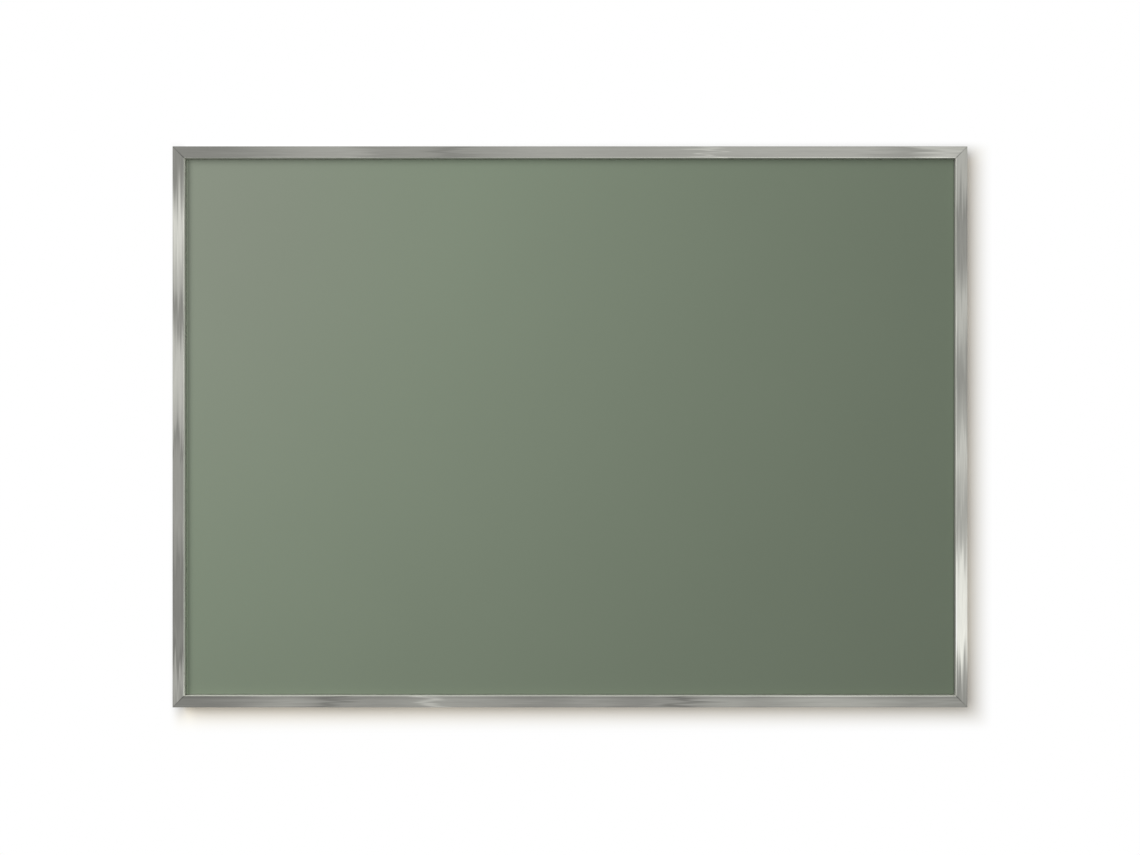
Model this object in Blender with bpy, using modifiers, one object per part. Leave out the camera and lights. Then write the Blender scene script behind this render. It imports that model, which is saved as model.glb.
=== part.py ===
"""Magnetic board: a painted steel tray set into a mitred frame of brushed metal rails.

X runs along the width, Z up the height and Y from the viewer to the wall.
The wall is the plane y = 0 and the board's front faces -Y.
"""

import math

import bmesh
import bpy
from mathutils import Matrix, Vector

# Board
board_width = 0.8636
board_height = 0.6096
seat_gap = 0.0003
facet_count = 16

# Rail section
face_width = 0.0127
rail_wall = 0.0015
edge_radius = 0.0012
edge_steps = 4
trim_radius = 0.0004
root_radius = 0.0005
recess_depth = 0.0058
lip_thickness = 0.0012

# Steel tray and what fills it
tray_edge_gap = 0.0004
sheet_thickness = 0.0008
bend_radius = 0.0010
bend_steps = 3
corner_slit = 0.0005
core_thickness = 0.0060
backing_thickness = 0.0005

# Corner hardware in the rear channel of the rails
angle_thickness = 0.0016
angle_leg = 0.0340
angle_nose_radius = 0.0020
plate_thickness = 0.0008
plate_leg = 0.0310
set_screw_radius = 0.0020
set_screw_place = 0.0240
set_screw_sink = 0.0002
set_screw_slot_width = 0.0006
set_screw_slot_depth = 0.0008
set_screw_chamfer = 0.0003
set_screw_side_gap = 0.00065

# Panel screws
screw_shank_radius = 0.0015
screw_head_radius = 0.0029
screw_head_height = 0.0016
screw_head_rim = 0.0005
screw_crown_steps = 3
screw_tip_length = 0.0012
screw_tip_radius = 0.0005
screw_bite = 0.0031
long_rail_screw_shares = (-0.36, -0.12, 0.12, 0.36)
side_rail_screw_shares = (-0.30, 0.04)

# Hangers on the side rails
strap_thickness = 0.0012
strap_width = 0.0080
strap_edge = 0.0015
strap_screw_spacing = 0.0120
strap_end = 0.0060
eye_sweep_degrees = 290.0
hanger_share = 0.30
ring_wire_radius = 0.0011
ring_inner_width = 0.0110
ring_leg = 0.0062
ring_corner_radius = 0.0022
ring_side_gap = 0.0008
ring_screw_gap = 0.0012
ring_bevel_resolution = 3

# Wall bumpers
bumper_radius = 0.0055
bumper_height = 0.0030
bumper_chamfer = 0.0006
bumper_from_corner = 0.0560

# Sizes that follow from the ones above
package_depth = sheet_thickness + seat_gap + core_thickness + seat_gap + backing_thickness
web_front = recess_depth + package_depth + seat_gap
web_back = web_front + rail_wall
plate_front = web_back + seat_gap
plate_back = plate_front + plate_thickness
angle_front = plate_back + seat_gap
angle_back = angle_front + angle_thickness
lip_front = angle_back + seat_gap
frame_depth = lip_front + lip_thickness
front_y = -(frame_depth + seat_gap + bumper_height)

channel_middle = face_width / 2
lip_reach = channel_middle - rail_wall - set_screw_radius - set_screw_side_gap
hole_radius = screw_shank_radius + seat_gap
ring_half_span = ring_inner_width / 2 + 2 * ring_wire_radius
hanger_inset = face_width + ring_side_gap + ring_half_span
ledge_end = hanger_inset + strap_width / 2 + strap_edge

tray_width = board_width - 2 * (face_width + tray_edge_gap)
tray_height = board_height - 2 * (face_width + tray_edge_gap)
fill_width = tray_width - 2 * (sheet_thickness + seat_gap)
fill_height = tray_height - 2 * (sheet_thickness + seat_gap)
core_front = recess_depth + sheet_thickness + seat_gap
core_back = core_front + core_thickness
backing_front = core_back + seat_gap
screw_tip = core_back - screw_bite

strap_front = web_back + seat_gap
strap_back = strap_front + strap_thickness
eye_inner_radius = ring_wire_radius + seat_gap
eye_outer_radius = eye_inner_radius + strap_thickness
ring_axis_depth = strap_front + eye_outer_radius
ring_reach = ring_leg + ring_half_span
upper_screw = ring_reach + ring_screw_gap + screw_head_radius
strap_screw_places = {"upper": upper_screw, "lower": upper_screw + strap_screw_spacing}
strap_length = strap_screw_places["lower"] + strap_end
hanger_z = hanger_share * board_height

# Each rail: its length, the point its local origin takes, its inward and its lengthwise direction
half_width = board_width / 2
half_height = board_height / 2
across = Vector((1, 0, 0))
backward = Vector((0, 1, 0))
upward = Vector((0, 0, 1))
rails = {
    "top": (board_width, Vector((0, front_y, half_height)), -upward, across),
    "bottom": (board_width, Vector((0, front_y, -half_height)), upward, -across),
    "left": (board_height, Vector((-half_width, front_y, 0)), across, upward),
    "right": (board_height, Vector((half_width, front_y, 0)), -across, -upward),
}
corners = {
    "top_left": (-1, 1),
    "top_right": (1, 1),
    "bottom_left": (-1, -1),
    "bottom_right": (1, -1),
}
sides = {"left": -1, "right": 1}


def clear_scene():
    for obj in list(bpy.data.objects):
        bpy.data.objects.remove(obj, do_unlink=True)


def collection(name):
    group = bpy.data.collections.new(name)
    bpy.context.scene.collection.children.link(group)
    return group


def material(name, colour, roughness, metallic):
    made = bpy.data.materials.new(name)
    made.use_nodes = True
    shader = made.node_tree.nodes["Principled BSDF"]
    shader.inputs["Base Color"].default_value = (*colour, 1)
    shader.inputs["Roughness"].default_value = roughness
    shader.inputs["Metallic"].default_value = metallic
    return made


def piece(name, mesh, matrix, finish):
    obj = bpy.data.objects.new(name, mesh)
    board.objects.link(obj)
    obj.matrix_world = matrix
    mesh.materials.clear()
    mesh.materials.append(finish)
    return obj


def cut(obj, mesh, matrix, operation="DIFFERENCE"):
    cutter = bpy.data.objects.new(f"{obj.name}_{operation.lower()}_{len(obj.modifiers)}", mesh)
    cutters.objects.link(cutter)
    cutter.matrix_world = matrix
    cutter.hide_render = True
    cutter.display_type = "WIRE"
    step = obj.modifiers.new("cut", "BOOLEAN")
    step.operation = operation
    step.solver = "EXACT"
    step.object = cutter


def smooth(mesh):
    for face in mesh.polygons:
        face.use_smooth = True


def mesh_of_curve(curve):
    """The closed mesh of a curve, which is then removed."""
    holder = bpy.data.objects.new("outline", curve)
    bpy.context.scene.collection.objects.link(holder)
    evaluated = holder.evaluated_get(bpy.context.evaluated_depsgraph_get())
    mesh = bpy.data.meshes.new_from_object(evaluated)
    bpy.data.objects.remove(holder, do_unlink=True)
    work = bmesh.new()
    work.from_mesh(mesh)
    bmesh.ops.remove_doubles(work, verts=work.verts, dist=seat_gap / 100)
    bmesh.ops.recalc_face_normals(work, faces=work.faces)
    work.to_mesh(mesh)
    work.free()
    return mesh


def closed_line(curve, points):
    line = curve.splines.new("POLY")
    line.points.add(len(points) - 1)
    for place, point in zip(line.points, points):
        place.co = (*point, 0, 1)
    line.use_cyclic_u = True
    line.use_smooth = False


def slab(loops, thickness):
    """A flat outline with its holes, in XY, extruded to half its thickness on either side."""
    curve = bpy.data.curves.new("outline", "CURVE")
    curve.dimensions = "2D"
    curve.fill_mode = "BOTH"
    curve.extrude = thickness / 2
    for points in loops:
        closed_line(curve, points)
    return mesh_of_curve(curve)


def arc(centre, radius, start, end, steps):
    """Points on an arc, from one angle to another in degrees, both ends included."""
    turns = [math.radians(start + (end - start) * i / steps) for i in range(steps + 1)]
    return [(centre[0] + radius * math.cos(t), centre[1] + radius * math.sin(t)) for t in turns]


def rounded(corners):
    """An outline with each of its corners (x, y, radius) filleted."""
    points = []
    spots = [Vector(corner[:2]) for corner in corners]
    for i, (spot, (_, _, radius)) in enumerate(zip(spots, corners)):
        before = (spots[i - 1] - spot).normalized()
        after = (spots[(i + 1) % len(spots)] - spot).normalized()
        half_angle = before.angle(after) / 2
        tangent = radius / math.tan(half_angle)
        centre = spot + (before + after).normalized() * radius / math.sin(half_angle)
        first, last = spot + before * tangent - centre, spot + after * tangent - centre
        start = math.degrees(math.atan2(first.y, first.x))
        sweep = (math.degrees(math.atan2(last.y, last.x)) - start + 180) % 360 - 180
        points += arc(centre, radius, start, start + sweep, edge_steps) if radius else [tuple(spot)]
    return points


def circle(centre, radius):
    return arc(centre, radius, 0, 360, facet_count)[:-1]


def rectangle(width, height):
    x, y = width / 2, height / 2
    return [(-x, -y), (x, -y), (x, y), (-x, y)]


def turned(name, profile, matrix, finish):
    """A piece turned about its local Z from points (radius, height), listed from the top down."""
    mesh = bpy.data.meshes.new(name)
    verts = [(radius, 0, height) for radius, height in profile]
    mesh.from_pydata(verts, [(i, i + 1) for i in range(len(verts) - 1)], [])
    obj = piece(name, mesh, matrix, finish)
    turn = obj.modifiers.new("turn", "SCREW")
    turn.axis = "Z"
    turn.steps = turn.render_steps = facet_count
    turn.use_merge_vertices = True
    turn.merge_threshold = seat_gap / 100
    turn.use_smooth_shade = True
    return obj


def upright(x, y, z):
    """Places a piece drawn in XY so that its Y runs up and its Z runs to the viewer."""
    return Matrix.Translation((x, y, z)) @ Matrix.Rotation(math.pi / 2, 4, "X")


def toward_wall(x, y, z):
    """Places a piece drawn along Z so that its Z runs to the wall."""
    return Matrix.Translation((x, y, z)) @ Matrix.Rotation(-math.pi / 2, 4, "X")


def depth_y(depth):
    """World y of a depth measured from the front of the frame."""
    return front_y + depth


def panel_screw_places():
    """World x and z of the screws in the ledges, with the rail that each goes through."""
    x_side = half_width - hanger_inset
    z_side = half_height - hanger_inset
    places = []
    for rail, sign in (("top", 1), ("bottom", -1)):
        places += [(rail, share * board_width, sign * z_side) for share in long_rail_screw_shares]
    for rail, sign in sides.items():
        places += [(rail, sign * x_side, share * board_height) for share in side_rail_screw_shares]
    return places


def hanger_screw_places():
    x_side = half_width - hanger_inset
    return [
        (rail, sign * x_side, hanger_z - place)
        for rail, sign in sides.items()
        for place in strap_screw_places.values()
    ]


def drills(places, radius, front, back):
    """One mesh of round cutters that run from one depth to another."""
    work = bmesh.new()
    for _, x, z in places:
        bmesh.ops.create_cone(
            work,
            cap_ends=True,
            segments=facet_count,
            radius1=radius,
            radius2=radius,
            depth=back - front,
            matrix=toward_wall(x, depth_y((front + back) / 2), z),
        )
    mesh = bpy.data.meshes.new("drills")
    work.to_mesh(mesh)
    work.free()
    return mesh


def rail_section():
    """The rail's outline and its closed chamber, as points (inward, depth)."""
    inner = face_width - rail_wall
    outline = [
        (0, 0, edge_radius),
        (face_width, 0, edge_radius),
        (face_width, web_front, root_radius),
        (ledge_end, web_front, trim_radius),
        (ledge_end, web_back, trim_radius),
        (face_width, web_back, root_radius),
        (face_width, frame_depth, trim_radius),
        (inner - lip_reach, frame_depth, trim_radius),
        (inner - lip_reach, lip_front, trim_radius),
        (inner, lip_front, 0),
        (inner, web_back, 0),
        (rail_wall, web_back, 0),
        (rail_wall, lip_front, 0),
        (rail_wall + lip_reach, lip_front, trim_radius),
        (rail_wall + lip_reach, frame_depth, trim_radius),
        (0, frame_depth, trim_radius),
    ]
    chamber = [
        (rail_wall, rail_wall, root_radius),
        (inner, rail_wall, root_radius),
        (inner, web_front, root_radius),
        (rail_wall, web_front, root_radius),
    ]
    return [rounded(outline), rounded(chamber)]


def rail(name):
    """A length of the section with both ends mitred, drilled through its ledge."""
    length, start, inward, along = rails[name]
    mesh = slab(rail_section(), length)
    mitre_back = seat_gap / math.sqrt(2)
    for vert in mesh.vertices:
        reach = length / 2 - vert.co.x - mitre_back
        vert.co.z = math.copysign(reach, vert.co.z)
    matrix = Matrix.Translation(start) @ Matrix((inward, backward, along)).transposed().to_4x4()
    obj = piece(f"frame_rail_{name}", mesh, matrix, brushed)
    places = [p for p in panel_screw_places() + hanger_screw_places() if p[0] == name]
    through = rail_wall
    cut(obj, drills(places, hole_radius, web_front - through / 2, web_back + through), Matrix())


def face_tray():
    """Sheet steel folded back on all four sides, with a slit left in each folded corner."""
    work = bmesh.new()
    bmesh.ops.create_cube(work, size=1)
    bmesh.ops.scale(work, vec=(tray_width, package_depth, tray_height), verts=work.verts)
    rear = max(work.faces, key=lambda face: face.calc_center_median().y)
    rear_edges = set(rear.edges)
    bmesh.ops.delete(work, geom=[rear], context="FACES_ONLY")
    folds = [edge for edge in work.edges if edge not in rear_edges]
    bmesh.ops.bevel(
        work, geom=folds, offset=bend_radius, segments=bend_steps, profile=0.5, affect="EDGES"
    )
    bmesh.ops.recalc_face_normals(work, faces=work.faces)
    front = min(work.faces, key=lambda face: face.calc_center_median().y)
    if front.normal.y > 0:
        bmesh.ops.reverse_faces(work, faces=work.faces)
    mesh = bpy.data.meshes.new("face_tray")
    work.to_mesh(mesh)
    work.free()
    middle = depth_y(recess_depth + package_depth / 2)
    obj = piece("face_tray", mesh, Matrix.Translation((0, middle, 0)), sage_paint)
    shell = obj.modifiers.new("sheet", "SOLIDIFY")
    shell.thickness = sheet_thickness
    shell.offset = -1
    shell.use_even_offset = True
    slit_length = 4 * bend_radius
    slit_front = recess_depth + 2 * bend_radius
    slit_depth = recess_depth + package_depth + bend_radius - slit_front
    work = bmesh.new()
    for x_sign, z_sign in corners.values():
        place = Matrix.Translation(
            (x_sign * tray_width / 2, depth_y(slit_front + slit_depth / 2), z_sign * tray_height / 2)
        )
        turn = Matrix.Rotation(-x_sign * z_sign * math.pi / 4, 4, "Y")
        size = Matrix.Diagonal((slit_length, slit_depth, corner_slit, 1))
        bmesh.ops.create_cube(work, size=1, matrix=place @ turn @ size)
    slits = bpy.data.meshes.new("corner_slits")
    work.to_mesh(slits)
    work.free()
    cut(obj, slits, Matrix())


def core_board():
    middle = depth_y((core_front + core_back) / 2)
    mesh = slab([rectangle(fill_width, fill_height)], core_thickness)
    obj = piece("core_board", mesh, upright(0, middle, 0), fibreboard)
    places = panel_screw_places() + hanger_screw_places()
    cut(obj, drills(places, hole_radius, screw_tip - seat_gap, core_back + screw_bite), Matrix())


def backing_sheet():
    places = panel_screw_places() + hanger_screw_places()
    loops = [rectangle(fill_width, fill_height)] + [circle((x, z), hole_radius) for _, x, z in places]
    middle = depth_y(backing_front + backing_thickness / 2)
    piece("backing_sheet", slab(loops, backing_thickness), upright(0, middle, 0), galvanised)


def corner_outline(leg):
    """An L that lies in two rear channels, as points measured inward from the board's corner."""
    near = rail_wall + seat_gap
    far = face_width - near
    return rounded(
        [
            (near, near, angle_nose_radius),
            (leg, near, trim_radius),
            (leg, far, trim_radius),
            (far, far, root_radius),
            (far, leg, trim_radius),
            (near, leg, trim_radius),
        ]
    )


def mirrored(points, x_sign, z_sign):
    """Points measured inward from a corner, moved to that corner of the board."""
    return [
        (x_sign * (half_width - inward_x), z_sign * (half_height - inward_z))
        for inward_x, inward_z in points
    ]


def corner_hardware(name, x_sign, z_sign):
    screw_spots = [(set_screw_place, channel_middle), (channel_middle, set_screw_place)]
    plate = slab([mirrored(corner_outline(plate_leg), x_sign, z_sign)], plate_thickness)
    plate_y = depth_y((plate_front + plate_back) / 2)
    piece(f"corner_plate_{name}", plate, upright(0, plate_y, 0), zinc)
    holes = [circle(spot, set_screw_radius + seat_gap) for spot in screw_spots]
    loops = [mirrored(points, x_sign, z_sign) for points in [corner_outline(angle_leg), *holes]]
    angle_y = depth_y((angle_front + angle_back) / 2)
    piece(f"corner_angle_{name}", slab(loops, angle_thickness), upright(0, angle_y, 0), zinc)
    for way, spot in zip(("across", "upright"), mirrored(screw_spots, x_sign, z_sign)):
        set_screw(f"set_screw_{name}_{way}", *spot)


def set_screw(name, x, z):
    """A headless screw that presses the plate and lifts the angle against the lips."""
    length = frame_depth - set_screw_sink - angle_front
    shoulder = set_screw_radius - set_screw_chamfer
    profile = [
        (0, length),
        (shoulder, length),
        (set_screw_radius, length - set_screw_chamfer),
        (set_screw_radius, set_screw_chamfer),
        (shoulder, 0),
        (0, 0),
    ]
    obj = turned(name, profile, toward_wall(x, depth_y(angle_front), z), zinc)
    work = bmesh.new()
    bmesh.ops.create_cube(work, size=1)
    size = (4 * set_screw_radius, 2 * set_screw_slot_depth, set_screw_slot_width)
    bmesh.ops.scale(work, vec=size, verts=work.verts)
    slot = bpy.data.meshes.new("slot")
    work.to_mesh(slot)
    work.free()
    cut(obj, slot, Matrix.Translation((x, depth_y(angle_front + length), z)))


def pan_screw(name, x, z, seat):
    """A round-headed screw whose head bears at the given depth and whose tip is in the core."""
    shank = seat - screw_tip
    crown = screw_head_height - screw_head_rim
    profile = [
        (screw_head_radius * math.sin(turn), screw_head_rim + crown * math.cos(turn))
        for turn in (math.pi / 2 * i / screw_crown_steps for i in range(screw_crown_steps + 1))
    ]
    profile += [
        (screw_head_radius, 0),
        (screw_shank_radius, 0),
        (screw_shank_radius, screw_tip_length - shank),
        (screw_tip_radius, -shank),
        (0, -shank),
    ]
    turned(name, profile, toward_wall(x, depth_y(seat), z), zinc)


def screws():
    counts = {}
    for rail_name, x, z in panel_screw_places():
        counts[rail_name] = counts.get(rail_name, 0) + 1
        pan_screw(f"panel_screw_{rail_name}_{counts[rail_name]}", x, z, web_back + seat_gap)
    for side, sign in sides.items():
        x = sign * (half_width - hanger_inset)
        for level, place in strap_screw_places.items():
            pan_screw(f"hanger_screw_{side}_{level}", x, hanger_z - place, strap_back + seat_gap)


def hanger_strap(side, sign):
    """A steel strip whose upper end is rolled into an eye round the ring's bar."""
    x = sign * (half_width - hanger_inset)
    end_angle = 180 - eye_sweep_degrees
    profile = arc((0, 0), eye_outer_radius, 180, end_angle, facet_count)
    profile += arc((0, 0), eye_inner_radius, end_angle, 180, facet_count)
    profile += [(-eye_inner_radius, -strap_length), (-eye_outer_radius, -strap_length)]
    axis = Matrix.Translation((x, depth_y(ring_axis_depth), hanger_z))
    side_on = Matrix((backward, upward, across)).transposed().to_4x4()
    obj = piece(f"hanger_strap_{side}", slab([profile], strap_width), axis @ side_on, zinc)
    radius = strap_width / 2
    top = 2 * eye_outer_radius
    outline = arc((0, radius - strap_length), radius, 180, 360, facet_count)
    outline += [(strap_width, radius - strap_length), (strap_width, top)]
    outline += [(-strap_width, top), (-strap_width, radius - strap_length)]
    rounded = slab([outline], 4 * eye_outer_radius)
    cut(obj, rounded, upright(x, depth_y(ring_axis_depth), hanger_z), "INTERSECT")
    places = [(side, x, hanger_z - place) for place in strap_screw_places.values()]
    span = (strap_front - strap_thickness, strap_back + strap_thickness)
    cut(obj, drills(places, hole_radius, *span), Matrix())


def hanger_ring(side, sign):
    """A wire D whose bar turns in the strap's eye, hanging straight down."""
    half = ring_inner_width / 2 + ring_wire_radius
    corner = ring_corner_radius
    path = arc((half - corner, -corner), corner, 90, 0, edge_steps)
    path += arc((0, -ring_leg), half, 0, -180, facet_count)
    path += arc((corner - half, -corner), corner, 180, 90, edge_steps)
    curve = bpy.data.curves.new("wire", "CURVE")
    curve.dimensions = "3D"
    curve.bevel_depth = ring_wire_radius
    curve.bevel_resolution = ring_bevel_resolution
    closed_line(curve, path)
    mesh = mesh_of_curve(curve)
    smooth(mesh)
    x = sign * (half_width - hanger_inset)
    place = upright(x, depth_y(ring_axis_depth), hanger_z)
    piece(f"hanger_ring_{side}", mesh, place, nickel)


def wall_bumper(name, x_sign, z_sign):
    profile = [
        (0, bumper_height),
        (bumper_radius - bumper_chamfer, bumper_height),
        (bumper_radius, bumper_height - bumper_chamfer),
        (bumper_radius, 0),
        (0, 0),
    ]
    x = x_sign * (half_width - channel_middle)
    z = z_sign * (half_height - bumper_from_corner)
    turned(f"wall_bumper_{name}", profile, toward_wall(x, -bumper_height, z), rubber)


clear_scene()
board = collection("magnetic_board")
cutters = collection("cutters")

brushed = material("brushed_rail", (0.47, 0.47, 0.44), 0.34, 1.0)
sage_paint = material("sage_paint", (0.153, 0.191, 0.138), 0.46, 0.0)
fibreboard = material("fibreboard", (0.30, 0.19, 0.10), 0.85, 0.0)
galvanised = material("galvanised_sheet", (0.52, 0.54, 0.55), 0.42, 1.0)
zinc = material("zinc_plated_steel", (0.58, 0.58, 0.55), 0.32, 1.0)
nickel = material("nickel_wire", (0.62, 0.60, 0.56), 0.22, 1.0)
rubber = material("black_rubber", (0.025, 0.025, 0.027), 0.75, 0.0)

for rail_name in rails:
    rail(rail_name)
face_tray()
core_board()
backing_sheet()
for corner_name, (corner_x, corner_z) in corners.items():
    corner_hardware(corner_name, corner_x, corner_z)
    wall_bumper(corner_name, corner_x, corner_z)
screws()
for side_name, side_sign in sides.items():
    hanger_strap(side_name, side_sign)
    hanger_ring(side_name, side_sign)
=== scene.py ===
# %% [markdown]
# # A magnetic board on the wall
#
# The board is a steel sheet, folded into a shallow tray and painted sage green. It sits a few
# millimetres back inside four rails of brushed metal, which are cut at 45 degrees and pulled
# together by steel angles in a channel behind. This lesson takes the plain CAD model, keeps its
# sizes and its joints, and gives each piece the finer edges and the finish of the real one.

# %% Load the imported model
import math

import bmesh
import bpy
from mathutils import Matrix, Vector


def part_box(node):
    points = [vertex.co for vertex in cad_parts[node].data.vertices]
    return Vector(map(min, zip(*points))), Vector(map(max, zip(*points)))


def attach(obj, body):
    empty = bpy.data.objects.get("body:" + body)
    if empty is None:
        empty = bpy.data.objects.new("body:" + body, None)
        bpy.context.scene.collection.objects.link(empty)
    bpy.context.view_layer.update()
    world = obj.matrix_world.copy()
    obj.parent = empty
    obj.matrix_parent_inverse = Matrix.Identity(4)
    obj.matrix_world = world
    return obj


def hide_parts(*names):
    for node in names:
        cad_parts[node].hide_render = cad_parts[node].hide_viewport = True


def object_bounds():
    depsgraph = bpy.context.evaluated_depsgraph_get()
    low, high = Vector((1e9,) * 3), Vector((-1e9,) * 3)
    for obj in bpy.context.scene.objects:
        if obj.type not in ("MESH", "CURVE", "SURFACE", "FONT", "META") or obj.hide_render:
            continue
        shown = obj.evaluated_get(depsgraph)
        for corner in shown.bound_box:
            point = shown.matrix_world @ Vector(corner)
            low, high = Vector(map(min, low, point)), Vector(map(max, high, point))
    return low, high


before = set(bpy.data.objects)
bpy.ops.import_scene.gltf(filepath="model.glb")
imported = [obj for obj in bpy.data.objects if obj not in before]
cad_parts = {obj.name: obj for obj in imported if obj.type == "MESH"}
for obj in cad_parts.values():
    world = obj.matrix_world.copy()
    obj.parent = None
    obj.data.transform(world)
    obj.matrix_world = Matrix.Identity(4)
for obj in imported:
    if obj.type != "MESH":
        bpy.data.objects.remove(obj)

cad_low, cad_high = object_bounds()
board_width = cad_high.x - cad_low.x
board_height = cad_high.z - cad_low.z
front_y = cad_low.y
print(f"board {board_width:.4f} x {board_height:.4f} m, front face at y = {front_y:.4f}")

# %% [markdown]
# ## The camera
#
# The photograph looks straight at the board, and of the frame's inner sides it shows hardly more
# than a line. A normal lens a good metre away does that. The distance follows from how wide a
# strip of wall the picture shows: the board fills about seven tenths of it.


# %% Camera in front of the board
def linked(name, data):
    """A new object in the scene."""
    obj = bpy.data.objects.new(name, data)
    bpy.context.scene.collection.objects.link(obj)
    return obj


picture_width = 1.2376
lens = 38.0
sensor_width = 36.0
camera_distance = picture_width * lens / sensor_width
camera_drop = 0.0007

camera_data = bpy.data.cameras.new("camera")
camera_data.lens = lens
camera_data.sensor_width = sensor_width
camera = linked("camera", camera_data)
camera.location = (0, front_y - camera_distance, -camera_drop)
camera.rotation_euler = (math.radians(90), 0, 0)
bpy.context.scene.camera = camera
print(f"camera {camera_distance:.3f} m in front of the frame")

# %% [markdown]
# ## Small helpers for node trees
#
# Shapes and finishes are both made of nodes here. These helpers keep the cells short: the first
# adds a node and fills its inputs, with numbers or with other nodes' outputs, and the rest do sums.
# A socket knows the tree it belongs to, so a sum needs no telling where to go.


# %% Helpers for nodes
def add(tree, kind, inputs=None, **settings):
    """A new node: its settings, then a value or another node's socket for each input."""
    node = tree.nodes.new(kind)
    for name, value in settings.items():
        setattr(node, name, value)
    for name, value in (inputs or {}).items():
        for one in value if isinstance(value, list) else [value]:
            if isinstance(one, bpy.types.NodeSocket):
                tree.links.new(one, node.inputs[name])
            else:
                node.inputs[name].default_value = one
    return node


def output(tree, kind, inputs=None, **settings):
    """The first output of a new node."""
    return add(tree, kind, inputs, **settings).outputs[0]


def axes(vector):
    """The three coordinates of a vector."""
    return add(vector.id_data, "ShaderNodeSeparateXYZ", {0: vector}).outputs


def vector(tree, x=0.0, y=0.0, z=0.0):
    """A vector with these coordinates."""
    return output(tree, "ShaderNodeCombineXYZ", {"X": x, "Y": y, "Z": z})


def maths(operation, *values):
    """The result of one Math node on numbers and at least one socket."""
    tree = next(value.id_data for value in values if isinstance(value, bpy.types.NodeSocket))
    return output(tree, "ShaderNodeMath", dict(enumerate(values)), operation=operation)


def plus(first, second):
    """The sum of two values."""
    return maths("ADD", first, second)


def minus(first, second):
    """The first value less the second."""
    return maths("SUBTRACT", first, second)


def times(first, *others):
    """The product of all the values."""
    for other in others:
        first = maths("MULTIPLY", first, other)
    return first


def blended(low, high, value, start, end, curve="SMOOTHSTEP"):
    """Goes from low to high while value goes from start to end."""
    inputs = {"Value": value, "From Min": start, "From Max": end, "To Min": low, "To Max": high}
    return output(value.id_data, "ShaderNodeMapRange", inputs, interpolation_type=curve)


def mixed(first, second, share):
    """The first value where the share is 0, and the second where it is 1."""
    return blended(first, second, share, 0, 1, "LINEAR")


# %% [markdown]
# ## The wall and the light
#
# The board hangs on a white wall, and two soft lights stand in front of it, up on the left. The
# large one, the size of a window and close by, leaves the soft shadow on the right and below, and
# lights the green face more on the left than on the right. The narrow one stands to the side, and
# puts the thin shadow of the left rail on the face. A third one lights the back.
#
# The wall shows only to the camera and only from the front, and all other rays pass through it.
# Next to the board it is a real surface that takes the shadow, and further out it fades to plain
# white: slowly on the right and below, with a round turn between the two, and at once on the left
# and above. Its colour is painted warm where the shadow falls, and a painted grey shade darkens it
# along the left and top edges, where the shadow begins.

# %% White surroundings
white = (1, 1, 1, 1)
fill_level = 0.22

world = bpy.data.worlds.new("studio")
bpy.context.scene.world = world
world.use_nodes = True
world.cycles.sampling_method = "NONE"
tree = world.node_tree
tree.nodes.clear()
ray = add(tree, "ShaderNodeLightPath").outputs
seen = maths("MAXIMUM", ray["Is Camera Ray"], ray["Is Glossy Ray"])
seen = maths("MAXIMUM", seen, ray["Is Transmission Ray"])
fill = output(tree, "ShaderNodeBackground", {"Color": white, "Strength": fill_level})
backdrop = output(tree, "ShaderNodeBackground", {"Color": white, "Strength": 1.0})
surroundings = output(tree, "ShaderNodeMixShader", {0: seen, 1: fill, 2: backdrop})
add(tree, "ShaderNodeOutputWorld", {"Surface": surroundings})
print(f"fill light at {fill_level} of white")


# %% Soft lights
def soft_light(name, place, aim, size, power):
    """A flat white lamp of that width and height in metres, turned to its aim."""
    data = bpy.data.lights.new(name, "AREA")
    data.shape = "RECTANGLE"
    data.size, data.size_y = size
    data.energy = power
    lamp = linked(name, data)
    lamp.location = place
    lamp.rotation_euler = (Vector(aim) - Vector(place)).to_track_quat("-Z", "Y").to_euler()
    lamp.visible_camera = False
    lamp.visible_glossy = False
    print(f"{name} light at {place}, {power} W")


soft_light("key", place=(-0.716, -1.125, 0.68), aim=(-0.244, 0, 0.287), size=(1.65, 2.21), power=22.3)
soft_light("side", place=(-1.586, -1.068, 0.869), aim=(-0.873, 0, 0.323), size=(0.79, 1.49), power=28.7)
soft_light("rear", place=(0.7, 1.7, 0.7), aim=(0, 0, 0), size=(1.38, 1.10), power=26.0)

# %% The wall that takes the shadow
wall_reach = 1.0
wall_gap = 0.0004
shade_colour = (1.0, 0.88, 0.69, 1)
wall_colour = (0.946, 0.909, 0.77, 1)
left_painted_shade = (0.56, 0.56, 0.56, 1)
top_painted_shade = (0.80, 0.80, 0.80, 1)
shadow_fade = (-0.0025, 0.037)
shadow_lean = 0.0037
shadow_corner = 0.021
open_fade = (-0.002, 0.012)
painted_shade_from = -0.014

corner_signs = [(-1, -1), (1, -1), (1, 1), (-1, 1)]
wall_points = [(wall_reach * x, wall_gap, wall_reach * z) for x, z in corner_signs]
wall_mesh = bpy.data.meshes.new("wall")
wall_mesh.from_pydata(wall_points, [], [(0, 1, 2, 3)])
wall = linked("wall", wall_mesh)

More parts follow.
